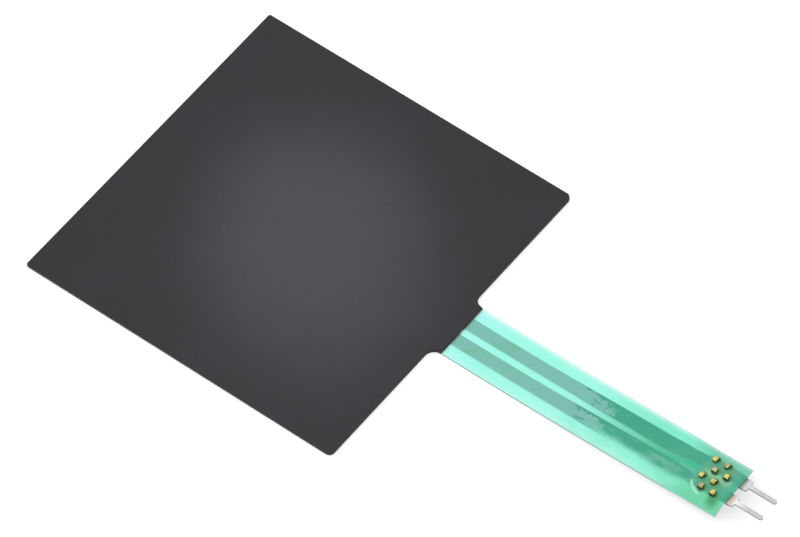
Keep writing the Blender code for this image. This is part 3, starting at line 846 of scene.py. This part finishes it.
class FORCE_OT_dress_tail(bpy.types.Operator):
    """Finish the clear film, the silver print and the green coat."""

    bl_idname = "force_sensor.dress_tail"
    bl_label = "Dress Tail"

    def execute(self, context):
        look = context.scene.tail_look
        smooth_film("base_film", clear_film(look))
        smooth_film("cover_coat", green_coat(look))
        silver = silver_ink(look)
        dress("electrode_comb_left", silver)
        dress("electrode_comb_right", silver)
        return {"FINISHED"}


class FORCE_OT_dress_tabs(bpy.types.Operator):
    """Finish the two solder tabs."""

    bl_idname = "force_sensor.dress_tabs"
    bl_label = "Dress Tabs"

    def execute(self, context):
        look = context.scene.tab_look
        metal = tab_metal(look)
        rounded_metal("solder_tab_left", metal, look.edge_radius)
        rounded_metal("solder_tab_right", metal, look.edge_radius)
        return {"FINISHED"}


class FORCE_OT_add_pierce_rims(bpy.types.Operator):
    """Add the lips of film that the claws raised."""

    bl_idname = "force_sensor.add_pierce_rims"
    bl_label = "Add Pierce Rims"

    def execute(self, context):
        sizes = context.scene.rim_sizes
        from_tab = (sizes.claw_span - sizes.strip) / 2
        clear_of_slot = sizes.claw_width * 0.75
        coat = coat_tree()
        points = []
        for tab_side in (-1, 1):
            for index in range(CLAWS_PER_TAB):
                side = 1 if index % 2 == 0 else -1
                x = claw_row(index, sizes.setback, sizes.claw_pitch)
                y = tab_side * TAB_PITCH / 2 + side * from_tab
                before = on_coat(coat, x - clear_of_slot, y).z
                after = on_coat(coat, x + clear_of_slot, y).z
                points.append((x, y, (before + after) / 2))
        room = 3 * sizes.lip
        length, width = sizes.claw_width + room, sizes.strip + room
        values = {"Length": length, "Width": width, "Lip": sizes.lip}
        tree = rim_tree(torn_film(context.scene.tail_look))
        rims = grown("pierce_rims", points_mesh("rim_points", points), tree, values)
        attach(rims, "root")
        return {"FINISHED"}


class FORCE_OT_add_stage(bpy.types.Operator):
    """Add the floor, the lamps, the sky and the camera."""

    bl_idname = "force_sensor.add_stage"
    bl_label = "Add Stage"

    def execute(self, context):
        look = context.scene.stage_look
        context.scene.view_settings.view_transform = "Standard"
        add_floor(look)
        add_sky(look)
        sheen_middle = Vector((2.5 * MM, -1.5 * MM, PAD_TOP))
        to_mirrored_camera = Vector((-0.39, 0.434, 0.812))
        sheen_place = sheen_middle + to_mirrored_camera * 48 * MM
        key_place = Vector((-600 * MM, -280 * MM, 450 * MM))
        add_lamp("key_lamp", key_place, sheen_middle, 400 * MM, look.key, WHITE)
        pale_blue = (0.8, 0.84, 1.0)
        add_lamp("sheen_lamp", sheen_place, sheen_middle, 27 * MM, look.sheen, pale_blue)
        add_camera(look)
        return {"FINISHED"}


def add_floor(look):
    """Pale floor just under the adhesive, white to the camera and clear from below."""
    reach, gap = 3.0, 0.02 * MM
    corners = [(-reach, -reach), (reach, -reach), (reach, reach), (-reach, reach)]
    mesh = bpy.data.meshes.new("floor")
    mesh.from_pydata([(x, y, -gap) for x, y in corners], [], [(0, 1, 2, 3)])
    floor = bpy.data.objects.new("floor", mesh)
    bpy.context.scene.collection.objects.link(floor)
    finish = Finish("floor_paper")
    graph = finish.graph
    finish.set(Base_Color=(0.55, 0.55, 0.55), Roughness=0.9, Specular_IOR_Level=0.0)
    from_below = graph.node("ShaderNodeNewGeometry").outputs["Backfacing"]
    finish.set(Alpha=graph.math("SUBTRACT", 1.0, from_below))
    seen = graph.node("ShaderNodeLightPath").outputs["Is Camera Ray"]
    lift = graph.math("MULTIPLY", seen, look.floor_lift)
    finish.set(Emission_Color=WHITE, Emission_Strength=lift)
    mesh.materials.append(finish.material)


def add_sky(look):
    """White light that dims towards the horizon; the camera and reflections see plain white."""
    world = bpy.data.worlds.new("studio")
    bpy.context.scene.world = world
    world.use_nodes = True
    graph = Graph(world.node_tree)
    background = world.node_tree.nodes["Background"]
    apart = graph.node("ShaderNodeSeparateXYZ")
    graph.feed(apart.inputs[0], graph.node("ShaderNodeTexCoord").outputs["Generated"])
    overhead = graph.ramp(apart.outputs["Z"], 0.0, 0.7)
    dome = graph.blend(overhead, look.horizon, look.sky)
    path = graph.node("ShaderNodeLightPath").outputs
    seen = graph.math("MAXIMUM", path["Is Camera Ray"], path["Is Glossy Ray"])
    seen = graph.math("MAXIMUM", seen, path["Is Transmission Ray"])
    graph.feed(background.inputs["Color"], WHITE)
    graph.feed(background.inputs["Strength"], graph.blend(seen, dome, 1.0))


def add_lamp(name, place, aim, width, power, color):
    """Round lamp that faces the aim and stays out of the picture."""
    data = bpy.data.lights.new(name, "AREA")
    data.shape = "DISK"
    data.size = width
    data.energy = power
    data.color = color
    lamp = bpy.data.objects.new(name, data)
    bpy.context.scene.collection.objects.link(lamp)
    lamp.location = place
    lamp.rotation_euler = (place - aim).to_track_quat("Z", "Y").to_euler()
    lamp.visible_camera = False


def add_camera(look):
    """Camera with the photograph's place, lens and roll."""
    data = bpy.data.cameras.new("camera")
    data.lens = look.lens
    data.sensor_width = 36.0
    data.clip_start = 0.01
    camera = bpy.data.objects.new("camera", data)
    bpy.context.scene.collection.objects.link(camera)
    place, aim = Vector(look.camera_place), Vector(look.camera_aim)
    facing = (aim - place).to_track_quat("-Z", "Y").to_matrix().to_4x4()
    roll = Matrix.Rotation(look.camera_roll, 4, "Z")
    camera.matrix_world = Matrix.Translation(place) @ facing @ roll
    bpy.context.scene.camera = camera


class FORCE_PT_looks(bpy.types.Panel):
    """Steps and sizes of the force sensor's looks."""

    bl_label = "Force Sensor"
    bl_idname = "FORCE_PT_looks"
    bl_space_type = "VIEW_3D"
    bl_region_type = "UI"
    bl_category = "Force Sensor"

    def draw(self, context):
        for operator in OPERATORS:
            self.layout.operator(operator.bl_idname)
        for name in SETTINGS:
            group = getattr(context.scene, name)
            box = self.layout.box()
            box.label(text=name.replace("_", " ").capitalize())
            for prop in group.bl_rna.properties:
                if prop.identifier not in ("rna_type", "name"):
                    box.prop(group, prop.identifier)


OPERATORS = (
    FORCE_OT_dress_pad,
    FORCE_OT_dress_tail,
    FORCE_OT_dress_tabs,
    FORCE_OT_add_pierce_rims,
    FORCE_OT_add_stage,
)
SETTINGS = {
    "pad_look": PadLook,
    "tail_look": TailLook,
    "tab_look": TabLook,
    "rim_sizes": RimSizes,
    "stage_look": StageLook,
}


def register():
    """Registers the settings, then the operators and the panel that use them."""
    for group in SETTINGS.values():
        bpy.utils.register_class(group)
    for name, group in SETTINGS.items():
        setattr(bpy.types.Scene, name, bpy.props.PointerProperty(type=group))
    for item in (*OPERATORS, FORCE_PT_looks):
        bpy.utils.register_class(item)


def unregister():
    """Removes everything that register added, in reverse order."""
    for item in (FORCE_PT_looks, *reversed(OPERATORS)):
        bpy.utils.unregister_class(item)
    for name, group in SETTINGS.items():
        delattr(bpy.types.Scene, name)
        bpy.utils.unregister_class(group)


def main():
    """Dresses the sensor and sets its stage."""
    register()
    bpy.ops.force_sensor.dress_pad()
    bpy.ops.force_sensor.dress_tail()
    bpy.ops.force_sensor.dress_tabs()
    bpy.ops.force_sensor.add_pierce_rims()
    bpy.ops.force_sensor.add_stage()


if __name__ == "__main__":
    main()
